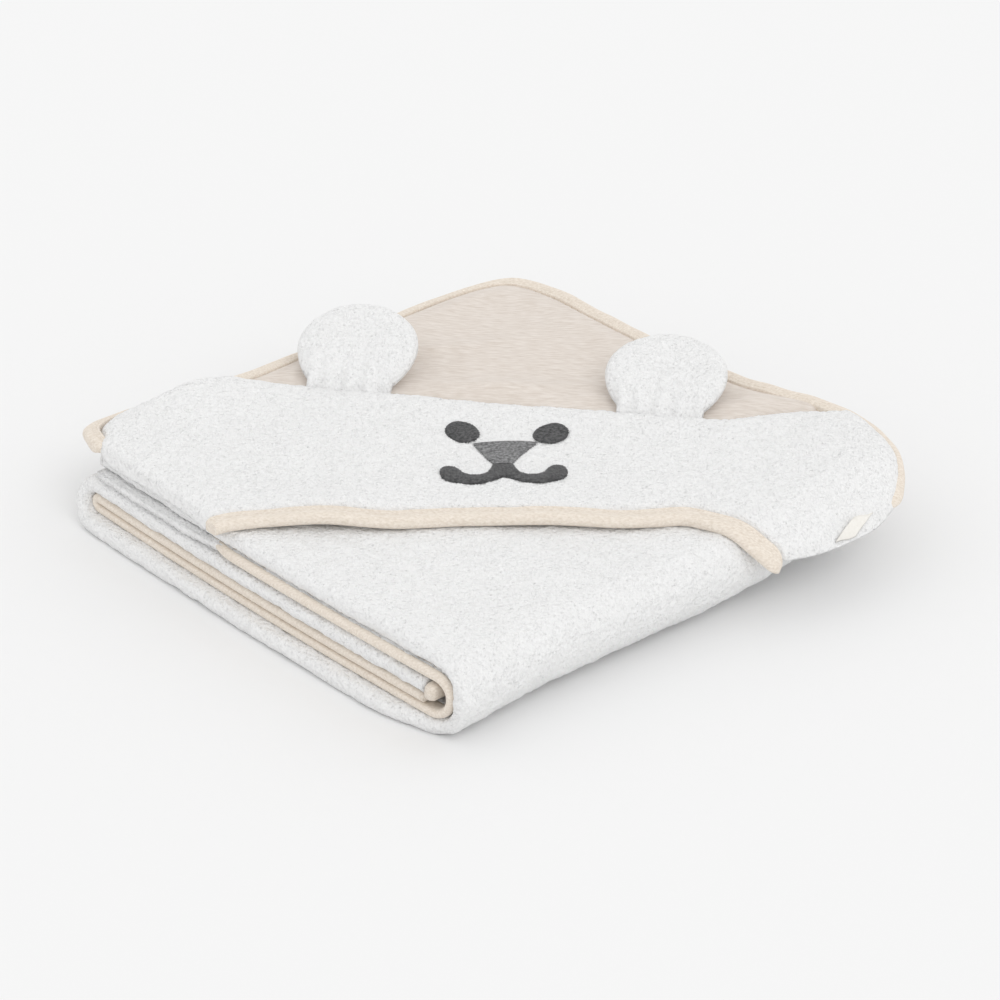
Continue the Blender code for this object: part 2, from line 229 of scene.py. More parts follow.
# ---- mesh helpers ---------------------------------------------------------------------------
def new_piece(name, points, faces, material):
    """A mesh object from design coordinates, smooth shaded, shifted into the row frame."""
    mesh = bpy.data.meshes.new(name)
    mesh.from_pydata((np.asarray(points, float) + np.array(SHIFT)).tolist(), [], faces)
    mesh.validate()
    mesh.materials.append(material)
    mesh.polygons.foreach_set("use_smooth", np.ones(len(mesh.polygons), bool))
    obj = bpy.data.objects.new(name, mesh)
    bpy.context.scene.collection.objects.link(obj)
    return obj


def tube_faces(rows, columns):
    """Faces of a closed tube of rings, with a cap at each end."""
    r = np.arange(rows - 1)[:, None]
    c = np.arange(columns)[None, :]
    d = (c + 1) % columns
    faces = np.stack([r * columns + c, r * columns + d, (r + 1) * columns + d,
                      (r + 1) * columns + c], -1).reshape(-1, 4).tolist()
    faces.append(list(range(columns))[::-1])
    faces.append([(rows - 1) * columns + k for k in range(columns)])
    return faces


RING = [(math.cos(a), math.sin(a)) for a in np.linspace(0, 2 * math.pi, 7)[:-1]]


def thread_faces(base, rings):
    """tube_faces of a six-sided thread whose points start at base."""
    return [[base + k for k in face] for face in tube_faces(rings, len(RING))]


def signed_area(outline):
    x, y = outline[:, 0], outline[:, 1]
    return 0.5 * np.sum(x * np.roll(y, -1) - y * np.roll(x, -1))


def scattered(outline, step, seed):
    """Jittered points inside an outline, about `step` apart."""
    low, high = outline.min(0), outline.max(0)
    nx, ny = int((high[0] - low[0]) / step) + 2, int((high[1] - low[1]) / (step * 0.87)) + 2
    i, j = np.meshgrid(np.arange(nx), np.arange(ny), indexing="ij")
    x = low[0] + (i + 0.5 * (j % 2) + 0.3 * (hashed(i, j, seed) - 0.5)) * step
    y = low[1] + (j + 0.3 * (hashed(i, j, seed + 3) - 0.5)) * step * 0.87
    pts = np.stack([x.ravel(), y.ravel()], 1)
    pts = pts[inside(pts, outline)]
    return pts[from_edge(pts, outline) > 0.55 * step]


def triangulated(outline, extra):
    """Triangles of a filled outline with extra points inside it; the outline's points come first."""
    n = len(outline)
    coords = [Vector(p) for p in (np.vstack([outline, extra]) if len(extra) else outline)]
    result = delaunay_2d_cdt(coords, [], [list(range(n))], 1, 1e-9)
    if len(result[0]) != len(coords):
        raise RuntimeError("the outline crosses itself")
    return [list(f) for f in result[2]]


def cloth_panel(name, outline, step, heights, place, material, seed=1, coarse=0.010):
    """A closed piece of cloth: a fine top surface, a coarse underside and a rim.

    heights(x, y, edge) gives (bottom, top) where edge is the distance from the outline."""
    outline = resample(np.asarray(outline, float), step, closed=True)
    if signed_area(outline) < 0:
        outline = outline[::-1]
    n = len(outline)
    fine, rough = scattered(outline, step, seed), scattered(outline, coarse, seed + 9)
    top_plan, low_plan = np.vstack([outline, fine]), np.vstack([outline, rough])
    top_edge = np.concatenate([np.zeros(n), from_edge(fine, outline)])
    low_edge = np.concatenate([np.zeros(n), from_edge(rough, outline)])
    top = place(top_plan[:, 0], top_plan[:, 1], heights(*top_plan.T, top_edge)[1])
    low = place(low_plan[:, 0], low_plan[:, 1], heights(*low_plan.T, low_edge)[0])
    faces = triangulated(outline, fine)
    faces += [[i + len(top_plan) for i in f[::-1]] for f in triangulated(outline, rough)]
    base = len(top_plan)
    faces += [[(k + 1) % n, k, base + k, base + (k + 1) % n] for k in range(n)]
    return new_piece(name, np.vstack([top, low]), faces, material)


# ---- materials ------------------------------------------------------------------------------
def material(name, low, high, mottle, bump, roughness=0.95, stretch=(1, 1, 1), sheen=0.15, cell=None):
    """Cloth whose colour wanders between two tones, with fine relief.

    mottle and bump are (scale, amount); cell adds a rounded loop relief of that scale."""
    mat = bpy.data.materials.new(name)
    mat.use_nodes = True
    nodes, links = mat.node_tree.nodes, mat.node_tree.links
    shader = nodes["Principled BSDF"]
    shader.inputs["Roughness"].default_value = roughness
    shader.inputs["Specular IOR Level"].default_value = 0.12
    shader.inputs["Sheen Weight"].default_value = sheen
    shader.inputs["Sheen Roughness"].default_value = 0.6
    coords = nodes.new("ShaderNodeTexCoord")
    mapping = nodes.new("ShaderNodeMapping")
    mapping.inputs["Scale"].default_value = stretch
    links.new(coords.outputs["Object"], mapping.inputs["Vector"])
    tone = nodes.new("ShaderNodeTexNoise")
    tone.inputs["Scale"].default_value = mottle[0]
    tone.inputs["Detail"].default_value = 4.0
    links.new(mapping.outputs["Vector"], tone.inputs["Vector"])
    spread = nodes.new("ShaderNodeMapRange")
    spread.inputs["From Min"].default_value = 0.5 - 0.5 / mottle[1]
    spread.inputs["From Max"].default_value = 0.5 + 0.5 / mottle[1]
    links.new(tone.outputs["Fac"], spread.inputs["Value"])
    mix = nodes.new("ShaderNodeMix")
    mix.data_type = "RGBA"
    mix.inputs["A"].default_value = (*low, 1.0)
    mix.inputs["B"].default_value = (*high, 1.0)
    links.new(spread.outputs["Result"], mix.inputs["Factor"])
    links.new(mix.outputs["Result"], shader.inputs["Base Color"])
    grain = nodes.new("ShaderNodeTexNoise")
    grain.inputs["Scale"].default_value = bump[0]
    grain.inputs["Detail"].default_value = 3.0
    links.new(mapping.outputs["Vector"], grain.inputs["Vector"])
    relief = nodes.new("ShaderNodeBump")
    relief.inputs["Strength"].default_value = 1.0
    relief.inputs["Distance"].default_value = bump[1]
    links.new(grain.outputs["Fac"], relief.inputs["Height"])
    last = relief
    if cell:
        loops = nodes.new("ShaderNodeTexVoronoi")
        loops.feature = "SMOOTH_F1"
        loops.inputs["Scale"].default_value = cell[0]
        links.new(coords.outputs["Object"], loops.inputs["Vector"])
        dome = nodes.new("ShaderNodeBump")
        dome.invert = True
        dome.inputs["Strength"].default_value = 1.0
        dome.inputs["Distance"].default_value = cell[1]
        links.new(loops.outputs["Distance"], dome.inputs["Height"])
        links.new(relief.outputs["Normal"], dome.inputs["Normal"])
        last = dome
    links.new(last.outputs["Normal"], shader.inputs["Normal"])
    return mat


TERRY = material("terry_white", (0.865, 0.862, 0.858), (0.945, 0.945, 0.943), (900, 1.6), (1500, 0.0007),
                 cell=(520, 0.0013))
JERSEY = material("jersey_oatmeal", (0.635, 0.562, 0.497), (0.785, 0.725, 0.670), (520, 2.2), (1500, 0.0002),
                  stretch=(0.25, 1.5, 1.0), roughness=0.9)
TAPE_CLOTH = material("tape_cream", (0.70, 0.615, 0.520), (0.865, 0.795, 0.710), (800, 2.4), (1900, 0.00018),
                      stretch=(0.6, 1.3, 1.0), roughness=0.9)
THREAD_CREAM = material("thread_cream", (0.80, 0.72, 0.62), (0.92, 0.86, 0.78), (900, 1.5), (4000, 0.0001),
                        roughness=0.7)
CHARCOAL = material("charcoal_thread", (0.040, 0.040, 0.041), (0.125, 0.125, 0.127), (620, 3.4),
                    (5000, 0.0001), roughness=0.6)
GREY = material("grey_thread", (0.115, 0.115, 0.117), (0.325, 0.325, 0.328), (620, 3.4), (5000, 0.0001),
                roughness=0.6)
LABEL = material("label_cream", (0.80, 0.775, 0.725), (0.88, 0.86, 0.815), (500, 1.6), (2600, 0.0001),
                 roughness=0.8)


# ---- the folded body ------------------------------------------------------------------------
def spaced(start, stop, step):
    return np.linspace(start, stop, max(int(round(abs(stop - start) / step)), 1) + 1)


def wound_rows(fine):
    """Rows down the wound strip: run, p, z and outward normal of its outer skin."""
    left, right = -HALF - LEFT_BULGE + SMALL, HALF - BIG
    rows = []
    for p in spaced(right - 0.006, left, 2.0 * fine)[:-1]:
        rows.append((p, 2 * SMALL, 0.0, 1.0))
    for angle in np.radians(spaced(90, 270, 180 * fine * 1.1 / (math.pi * SMALL))[:-1]):
        rows.append((left + SMALL * math.cos(angle), SMALL + SMALL * math.sin(angle),
                     math.cos(angle), math.sin(angle)))
    for p in spaced(left, right, 2.4 * fine)[:-1]:
        rows.append((p, 0.0, 0.0, -1.0))
    for angle in np.radians(spaced(-90, 90, 180 * fine * 0.95 / (math.pi * BIG))[:-1]):
        rows.append((right + BIG * math.cos(angle), BIG + BIG * math.sin(angle),
                     math.cos(angle), math.sin(angle)))
    for p in spaced(right, -0.085, fine)[:-1]:
        rows.append((p, HEIGHT, 0.0, 1.0))
    for p in spaced(-0.085, -HALF + 0.009, 2.4 * fine):
        rows.append((p, HEIGHT, 0.0, 1.0))
    rows = np.array(rows)
    run = np.concatenate([[0], np.cumsum(np.hypot(np.diff(rows[:, 0]), np.diff(rows[:, 1])))])
    return run, rows


def open_end(p):
    along = (p + HALF) / SIDE
    return -HALF + NEAR_INSET * along * np.abs(along)


def lean(p, q, z):
    """How far the big turn is drawn in towards its foot, along p."""
    low = 1.0 - np.clip(z / HEIGHT, 0.0, 1.0)
    return -0.0135 * low * smooth(p / 0.16) * (0.45 + 0.55 * smooth((q + HALF) / 0.10))


def wound_mesh(name, rows, run, contour, mat, pile=None, tuck=0.0, seed=3):
    """A closed strip: contour gives (front share, back share, offset, depth) for each column.

    tuck draws the bound ply's edge in where the hood's left wing covers it."""
    p0, z0, np_, nz = rows.T
    front = open_end(p0) - 0.007 + 0.011 * z0 / HEIGHT
    front = front + 0.009 * smooth((p0 - 0.100) / 0.060) * np.clip(1.0 - z0 / (0.6 * HEIGHT), 0.0, 1.0)
    tape = open_end(p0) + 0.001 + tuck * smooth((-0.030 - p0) / 0.045) * (z0 >= HEIGHT)
    kind, share, offset, depth = (np.array(c) for c in zip(*contour))
    q = np.where(kind[None, :] == 0, front[:, None], tape[:, None])
    q = q * (1 - share) + HALF * share + offset
    soft = 0.0011 * value_noise(run[:, None] + 0 * q, q, 0.045, 61) * (depth < 0.006)
    deep = depth[None, :] - soft
    p = p0[:, None] - np_[:, None] * deep
    z = z0[:, None] - nz[:, None] * deep
    x, y = to_xy(p + lean(p, q, z), q)
    points = np.stack([x, y, lifted(x, y, z)], -1)
    if pile:
        ahead = np.gradient(points, axis=0)
        aside = np.roll(points, -1, axis=1) - np.roll(points, 1, axis=1)
        normal = np.cross(ahead, aside)
        normal /= np.maximum(np.linalg.norm(normal, axis=2), 1e-12)[..., None]
        up = normal[:, 3] @ np.array([0, 0, 1.0])
        if (up * nz).sum() < 0:
            normal = -normal
        middle_row = points[len(points) // 2]
        girth = np.concatenate([[0], np.cumsum(np.linalg.norm(np.diff(middle_row, axis=0), axis=1))])
        around = girth[None, :] + 0 * q
        points = points + normal * (pile(run[:, None] + 0 * q, around, seed) - 0.0006)[..., None]
        points[..., 2] = np.maximum(points[..., 2], 0.0002)
    obj = new_piece(name, points.reshape(-1, 3), tube_faces(*q.shape), mat)
    outward(obj)
    return obj


def outward(obj):
    """Turns a closed mesh's faces outwards."""
    mesh = obj.data
    corners = np.zeros(len(mesh.vertices) * 3)
    mesh.vertices.foreach_get("co", corners)
    corners = corners.reshape(-1, 3)
    mesh.calc_loop_triangles()
    tri = np.zeros(len(mesh.loop_triangles) * 3, np.int64)
    mesh.loop_triangles.foreach_get("vertices", tri)
    a, b, c = (corners[tri.reshape(-1, 3)[:, k]] for k in range(3))
    if np.einsum("ij,ij->i", a, np.cross(b, c)).sum() < 0:
        mesh.flip_normals()


def layer_contour(fine):
    """Section of the doubly folded sheet: outer ply, its fold, middle ply, back fold, bound ply."""
    r = 0.0050
    contour = []
    near = np.concatenate([np.linspace(0, 0.885, int(0.30 / fine)), np.linspace(0.90, 1.0, 7)])
    some = np.concatenate([np.linspace(0, 0.12, 9), np.linspace(0.16, 1.0, 15)])
    for t in near[::-1]:
        contour.append((0, t, r * (1 - t), 0.0))
    for angle in np.linspace(0, math.pi, 10)[1:-1]:
        contour.append((0, 0.0, r - r * math.sin(angle), r - r * math.cos(angle)))
    for t in some[:-1]:
        contour.append((0, t, r * (1 - t), 2 * r))
    contour.append((0, 1.0, -0.0050, 2 * r + 0.0001))
    contour.append((1, 1.0, -0.0050, 2 * r + 0.0004))
    for t in some[::-1][1:]:
        contour.append((1, t, 0.004 * (1 - t), 2 * r + 0.0005))
    for t in some[:-1]:
        contour.append((1, t, 0.004 * (1 - t), 2 * r + 0.0050))
    contour.append((1, 1.0, -0.0050, 2 * r + 0.0050))
    for angle in np.linspace(0, math.pi, 9)[1:-1]:
        contour.append((0, 1.0, -0.0050 + 0.0048 * math.sin(angle),
                        2 * r + 0.0002 + 0.0048 * math.cos(angle)))
    contour.append((0, 1.0, -0.0050, r + 0.0004))
    for t in some[::-1][1:]:
        contour.append((0, t, r * (1 - t), r + 0.0003))
    for t in some:
        contour.append((0, t, r * (1 - t), r - 0.0003))
    return contour


def tape_section(width=TAPE, thick=0.0052):
    """Section of a folded binding tape, from its rounded edge inwards: (across, height)."""
    shape = [(0.00, 0.45), (0.02, 0.66), (0.07, 0.84), (0.16, 0.95), (0.28, 1.01), (0.40, 1.00),
             (0.50, 0.90), (0.56, 0.88), (0.64, 0.96), (0.72, 0.90), (0.78, 0.80), (0.84, 0.88),
             (0.93, 0.92), (0.99, 0.84), (1.00, 0.62), (1.00, 0.35), (0.98, 0.14), (0.84, 0.06),
             (0.42, 0.00), (0.20, 0.01), (0.07, 0.12), (0.02, 0.28)]
    return np.array([(a * width, h * thick) for a, h in shape])


STITCH_PITCH = 0.0033
STITCH_COLUMN = 10      # the point of tape_section that carries the stitching
run, rows = wound_rows(0.0021)
body = wound_mesh("terry_body", rows, run, layer_contour(0.0023), TERRY,
                  pile=terry_pile, tuck=-0.004)
section = tape_section(thick=0.0056)
edge_run, edge_rows = wound_rows(0.0030)
edge_tape = wound_mesh("body_edge_tape", edge_rows, edge_run,
                       [(1, 0.0, a, 0.0102 + (0.0056 - h)) for a, h in section], TAPE_CLOTH, tuck=0.010)


def stitches(name, path, ups, mat, pitch=STITCH_PITCH, length=0.0023, radius=0.00028, dip=0.00012):
    """A row of short threads along a path; ups are the surface's normals there."""
    gaps = np.linalg.norm(np.diff(path, axis=0), axis=1)
    at = np.concatenate([[0], np.cumsum(gaps)])
    points, faces = [], []
    swell = (0.35, 0.85, 1.0, 0.85, 0.35)
    for start in np.arange(pitch, at[-1] - pitch, pitch):
        spots = np.linspace(start, start + length, 5)
        mid = np.stack([np.interp(spots, at, path[:, k]) for k in range(3)], 1)
        up = np.array([np.interp(start, at, ups[:, k]) for k in range(3)])
        ahead = mid[-1] - mid[0]
        ahead /= np.linalg.norm(ahead)
        side = np.cross(ahead, up)
        base = len(points)
        for spot, share in zip(mid, swell):
            sink = dip - 0.00034 * (1 - share)
            for c, s in RING:
                points.append(spot + up * (sink + radius * share * s) + side * radius * share * c)
        faces += thread_faces(base, len(swell))
    return new_piece(name, points, faces, mat)


def end_tape():
    """The towel's bound end, seen inside the turn at the near corner."""
    start = HALF - BIG - 0.006 + 0.0003
    spine = spaced(0.0, 0.100, 0.0025)
    loop = []
    for angle in np.linspace(0, 2 * math.pi, 21)[:-1]:
        c, s = math.cos(angle), math.sin(angle)
        loop.append((0.0041 + 0.0041 * math.copysign(abs(c) ** 0.6, c),
                     0.0052 + 0.0052 * math.copysign(abs(s) ** 0.6, s)))
    points = []
    for k, far in enumerate(spine):
        swell = 1.0 if 0 < k < len(spine) - 1 else 0.8
        for a, h in loop:
            p, q = start + 0.0041 + (a - 0.0041) * swell, open_end(start) + 0.001 + far
            z = 0.0206 + 0.0052 + (h - 0.0052) * swell
            x, y = to_xy(p + lean(p, q, z), q)
            points.append((x, y, float(lifted(x, y, z))))
    obj = new_piece("body_end_tape", points, tube_faces(len(spine), len(loop)), TAPE_CLOTH)
    outward(obj)
    return obj


body_end = end_tape()


# ---- the hood -------------------------------------------------------------------------------
def seam_rise(hx):
    return 0.0190 * smooth((hx - 0.128) / (0.186 - 0.128))


def hem_line(hx):
    """Front edge of the terry brim in hood coordinates, a little wavy."""
    wave = 0.0012 * np.sin(hx * 47.0 + 0.6) + 0.0008 * np.sin(hx * 93.0 + 2.0)
    return -0.1310 + 0.190 * hx + wave * smooth((0.135 - np.abs(hx)) / 0.03)


def height_at(curve, x):
    """y of a curve at x, taking its highest crossing."""
    best = np.full(len(x), -1e9)
    for (ax, ay), (bx, by) in zip(curve[:-1], curve[1:]):
        low, high = min(ax, bx), max(ax, bx)
        if high > low:
            hit = (x >= low) & (x <= high)
            best[hit] = np.maximum(best[hit], ay + (by - ay) * (x[hit] - ax) / (bx - ax))
    return best


edge_plan = resample(spline(HOOD_EDGE), 0.0016)
edge_side = right_sides(edge_plan)
edge_ahead = np.concatenate([[0], np.cumsum(np.linalg.norm(np.diff(edge_plan, axis=0), axis=1))])
# How far inside its outer edge the rim tape disappears under the terry face.
reach_over = (0.0078 + 0.0030 * smooth((-0.185 - edge_plan[:, 0]) / 0.02)
              - 0.0050 * smooth((edge_plan[:, 0] - 0.15) / 0.05))
reach_over = reach_over * (0.25 + 0.75 * smooth(edge_ahead / 0.016))
under_tape = np.stack(plan_to_hood(*(edge_plan + edge_side * reach_over[:, None]).T), 1)
hem_curve = spline(HEM_LEFT + [(x, float(hem_line(x))) for x in np.linspace(-0.108, 0.126, 14)] + HEM_RIGHT)
hem_curve = resample(hem_curve, 0.0015)
left_rim = np.stack(plan_to_hood(*to_xy(*spline(WING_LEFT_EDGE).T)), 1)
left_rim = np.vstack([left_rim, [HEM_LEFT[0]]])
right_rim = spline([HEM_RIGHT[-1]] + WING_RIGHT_EDGE)


def crown_outline():
    x = np.linspace(-0.1600, 0.1880, 240)
    low = seam_rise(x) + 0.0002
    top = np.maximum(height_at(under_tape, x), low + 0.0012)
    return np.vstack([np.stack([x, low], 1), np.stack([x, top], 1)[::-1]])


def face_outline():
    """Whole terry face in hood coordinates: seam, right edge, hem, left edge."""
    x = np.linspace(-0.1600, 0.1880, 240)
    seam = np.stack([x, seam_rise(x) - 0.0002 + 0.0009 * value_noise(x, 0 * x, 0.0032, 91)], 1)
    right = under_tape[(under_tape[:, 0] > 0.1885) & (under_tape[:, 1] < 0.022)]
    left = under_tape[(under_tape[:, 0] < -0.1605) & (under_tape[:, 1] < 0.002)]
    return np.vstack([seam, right, right_rim[::-1][1:-1], hem_curve[::-1], left_rim[::-1][1:-1], left])


def face_rise(hx, hy):
    """Smooth relief of the terry face above its underside, metres."""
    calm = 1.0 - bell(hx, 0.004, 0.050) * bell(hy, -0.062, 0.040)
    rise = 0.0070 + calm * (0.0012 * value_noise(hx, hy, 0.060, 21) + 0.0006 * value_noise(hx, hy, 0.030, 23))
    rise = rise + 0.0022 * bell(hy - seam_rise(hx), -0.016, 0.014) * smooth((0.19 - np.abs(hx)) / 0.05)
    rise = rise + 0.0088 * bell(hx, -0.180, 0.032) * bell(hy, -0.024, 0.032)
    rise = rise + 0.0055 * bell(hx, 0.205, 0.035) * bell(hy, -0.020, 0.050)
    return rise


def hem_gap(hx, hy):
    """The brim's hem stands off the packet here and there."""
    front = smooth((hem_line(hx) + 0.045 - hy) / 0.045)
    return front * (0.0030 * bell(hx, -0.070, 0.034) + 0.0014 * bell(hx, 0.040, 0.030))


def rounded(edge, reach):
    t = np.clip(edge / reach, 0.0, 1.0)
    return np.sqrt(np.maximum(1.0 - (1.0 - t) ** 2, 0.0))


def face_place(hx, hy, h):
    px, py = hood_to_plan(hx, hy)
    return np.stack([px, py, lifted(px, py, under_hood(px, py) + h + hem_gap(hx, hy))], 1)


def crown_place(hx, hy, h):
    px, py = hood_to_plan(hx, hy)
    return np.stack([px, py, lifted(px, py, under_hood(px, py) + h)], 1)


def crown_heights(hx, hy, edge):
    soft = 0.0013 * value_noise(hx, hy, 0.055, 31) + 0.0006 * value_noise(hx * 0.6, hy, 0.020, 33)
    fold = 0.0022 * bell(hy + 0.25 * hx, 0.050, 0.010) * bell(hx, -0.100, 0.035)
    fold = fold + 0.0016 * bell(hy - 0.5 * hx, 0.085, 0.008) * bell(hx, -0.045, 0.040)
    fold = fold + 0.0014 * bell(hy + 0.35 * hx, 0.090, 0.009) * bell(hx, 0.080, 0.045)
    fold = fold + 0.0018 * bell(edge, 0.016, 0.006) * (0.5 + 0.5 * value_noise(hx, hy, 0.030, 37))
    fold = fold + 0.0016 * bell(hy - 0.22 * hx, 0.018, 0.007) * bell(hx, 0.030, 0.060)
    top = 0.0010 + rounded(edge, 0.008) * (0.0042 + soft + fold + 0.0010 * bell(edge, 0.018, 0.012))
    return 0.0002 + 0 * hx, top


face_full = face_outline()
face_dense = resample(face_full, 0.0030, closed=True)


def face_heights(hx, hy, edge):
    rim = from_edge(np.stack([hx, hy], 1), face_dense)
    pile = terry_pile(hx, hy, 41) - 0.0005
    top = 0.0014 + rounded(rim, 0.0085) * (face_rise(hx, hy) - 0.0014) + pile * smooth(rim / 0.002)
    return 0.0002 + 0 * hx, top


def half_of(outline, sign):
    """The part of an outline on one side of hx = 0, closed along that line."""
    outline = resample(outline, 0.0015, closed=True)
    out = []
    for a, b in zip(outline, np.roll(outline, -1, axis=0)):
        if a[0] * sign >= 0:
            out.append(a)
        if (a[0] >= 0) != (b[0] >= 0):
            t = a[0] / (a[0] - b[0])
            out.append((0.0, a[1] + (b[1] - a[1]) * t))
    return np.array(out)


def crease_free(obj):
    """Keeps the shading of the two halves even where they meet at hx = 0."""
    mesh = obj.data
    origin = np.array(hood_to_plan(0.0, 0.0)) + np.array(SHIFT)[:2]
    c, s = math.cos(HOOD_TURN), math.sin(HOOD_TURN)
    for line in mesh.edges:
        ends = [mesh.vertices[v].co for v in line.vertices]
        if all(abs((e.x - origin[0]) * c + (e.y - origin[1]) * s) < 1e-5 for e in ends):
            line.use_edge_sharp = True


STEP = 0.00145
crown = cloth_panel("crown_jersey", crown_outline(), 0.0026, crown_heights, crown_place,
                    JERSEY, seed=11)
outward(crown)
face_left, face_right = (
    cloth_panel("terry_face_" + side, half_of(face_full, sign), STEP, face_heights, face_place, TERRY,
                seed=seed)
    for side, sign, seed in (("left", -1, 13), ("right", 1, 17)))
for half in (face_left, face_right):
    outward(half)
    crease_free(half)


def crisp_ends(obj):
    """Keeps a tape's end caps from shading into its sides."""
    mesh = obj.data
    ends = {key for face in mesh.polygons if len(face.vertices) > 4 for key in face.edge_keys}
    for line in mesh.edges:
        if line.key in ends:
            line.use_edge_sharp = True


def tape_along(name, curve, side, place, mat=TAPE_CLOTH, thick=0.0062, width=TAPE, taper=(0, 0)):
    """A folded tape along a plan curve, its rounded edge outermost.

    Each end rounds off over its taper; the second result is the line for the stitching."""
    shape = tape_section(width, thick)
    ahead = np.concatenate([[0], np.cumsum(np.linalg.norm(np.diff(curve, axis=0), axis=1))])
    pucker = np.sin(ahead * 2 * math.pi / STITCH_PITCH)
    sway = 0.00035 * value_noise(ahead, 0 * ahead, 0.014, 51)
    rows = []
    for k, (spot, out) in enumerate(zip(curve, side)):
        a, h = shape[:, 0], shape[:, 1]
        narrow = min(float(rounded((far + 0.0008) / max(reach, 1e-6), 1.0))
                     for far, reach in ((ahead[k], taper[0]), (ahead[-1] - ahead[k], taper[1])))
        a, h = (a - 0.5 * width) * narrow + 0.5 * width, h * (0.4 + 0.6 * narrow)
        lift = (h > 0.5 * thick) * (0.00016 * pucker[k] * bell(a, 0.78 * width, 0.0016) + sway[k])
        plan = spot[None] + out[None] * a[:, None]
        rows.append(place(plan[:, 0], plan[:, 1], h + lift))
    points = np.array(rows)
    obj = new_piece(name, points.reshape(-1, 3), tube_faces(*points.shape[:2]), mat)
    outward(obj)
    crisp_ends(obj)
    return obj, points[:, STITCH_COLUMN].copy()


def design_place(x, y, h):
    return np.stack([x, y, lifted(x, y, under_hood(x, y) + h)], 1)


def tape_stitching(name, line):
    return stitches(name, line, np.tile((0.0, 0.0, 1.0), (len(line), 1)), THREAD_CREAM)


rim_tape, rim_line = tape_along("hood_rim_tape", edge_plan, edge_side, design_place, thick=0.0066,
                                taper=(0.007, 0.010))
rim_stitch = tape_stitching("hood_rim_stitching", rim_line)
HEM_WIDTH = 0.0132


def hem_half(side):
    """The hem tape on one side of the middle, from its outer end to hx = 0."""
    middle = int(np.argmin(np.abs(hem_curve[:, 0])))
    kept = slice(None, middle + 1) if side == "left" else slice(middle, None)
    towards_front = right_sides(hem_curve)[kept]
    return tape_along("hem_tape_" + side, hem_curve[kept] + towards_front * HEM_WIDTH, -towards_front,
                      face_place, thick=0.0068, width=HEM_WIDTH,
                      taper=(0, 0) if side == "left" else (0, 0.007))


hem_left, hem_left_line = hem_half("left")
hem_right, hem_right_line = hem_half("right")
hem_left_stitch = tape_stitching("hem_stitching_left", hem_left_line)
hem_right_stitch = tape_stitching("hem_stitching_right", hem_right_line)


# ---- embroidery -----------------------------------------------------------------------------
FACE_AT, FACE_TURN = (0.0092, 0.0020), math.radians(8.0)


def uneven(k, amount, slow, fast):
    """A small, irregular overrun for the end of thread number k."""
    return amount * math.sin(k * fast) * math.sin(k * slow)


def stitch_place(points):
    """Puts a flat drawing, made round its own origin, on the face; its upper part leans right."""
    c, s = math.cos(FACE_TURN), math.sin(FACE_TURN)
    leaning = 0.145 * np.maximum(points[..., 1], -0.006)
    x = FACE_AT[0] + points[..., 0] * c - points[..., 1] * s + leaning
    y = FACE_AT[1] + points[..., 0] * s + points[..., 1] * c
    hx, hy = plan_to_hood(x, y)
    flat = face_rise(hx, hy) + hem_gap(hx, hy)
    return np.stack([x, y, HOOD_UNDER + flat + 0.0006 + points[..., 2]], -1)


def satin(name, spans, mat, swell=0.0008, radius=0.00030):
    """Satin stitch: one raised thread over each span (x0, y0, x1, y1)."""
    points, faces = [], []
    shares = np.linspace(0, 1, 9)
    for k, (x0, y0, x1, y1) in enumerate(spans):
        a, b = np.array([x0, y0]), np.array([x1, y1])
        length = max(np.linalg.norm(b - a), 1e-6)
        side = np.array([-(b - a)[1], (b - a)[0]]) / length
        base = len(points)
        for t in shares:
            spot = a + (b - a) * t
            arch = math.sin(math.pi * t) ** 0.55
            up = swell * arch * min(1.0, length / 0.006) + 0.00012 * math.sin(k * 2.4)
            for c, s in RING:
                points.append((*(spot + side * radius * c), up + radius * s))
        faces += thread_faces(base, len(shares))
    obj = new_piece(name, stitch_place(np.array(points)), faces, mat)
    outward(obj)
    return obj


# Centre, lean of the long axis, and the two half lengths.
EYES = {"left": (-0.0262, 0.0267, math.radians(120), 0.0130, 0.0089),
        "right": (0.0255, 0.0226, math.radians(76), 0.0106, 0.0101)}


def eye_spans(side):
    """Threads across a leaning oval."""
    centre, level, turn, long, short = EYES[side]
    spans = []
    for k, x in enumerate(np.linspace(-long, long, 56)):
        half = short * math.sqrt(max(1 - (x / long / 1.03) ** 2, 0.0)) + uneven(k, 0.0005, 0.7, 1.9)
        ends = []
        for y in (-half, half):
            ends += [centre + x * math.cos(turn) - y * math.sin(turn),
                     level + x * math.sin(turn) + y * math.cos(turn)]
        spans.append(ends)
    return spans


def nose_spans():
    """Level threads down a wedge."""
    spans = []
    for k, y in enumerate(np.linspace(0.0128, -0.0125, 58)):
        half = 0.0058 + 0.0128 * ((y + 0.0120) / 0.0248) + uneven(k, 0.0005, 0.8, 2.1)
        spans.append((-half, y, half, y))
    return spans


# The mouth's upper and lower outlines, from its middle to its right end.
MOUTH_WIDTH = 0.965
MOUTH_TOP = np.array([
    (0.0, -0.0110), (0.0058, -0.0123), (0.0072, -0.0172), (0.0095, -0.0221), (0.0140, -0.0247),
    (0.0200, -0.0245), (0.0240, -0.0220), (0.0265, -0.0175), (0.0290, -0.0147), (0.0318, -0.0138),
    (0.0345, -0.0143), (0.0363, -0.0158), (0.0371, -0.0175), (0.0374, -0.0190)])
MOUTH_BOTTOM = np.array([
    (0.0, -0.0273), (0.0030, -0.0292), (0.0060, -0.0312), (0.0100, -0.0335), (0.0140, -0.0350),
    (0.0190, -0.0355), (0.0240, -0.0345), (0.0300, -0.0325), (0.0340, -0.0303), (0.0363, -0.0276),
    (0.0371, -0.0258), (0.0374, -0.0238)])


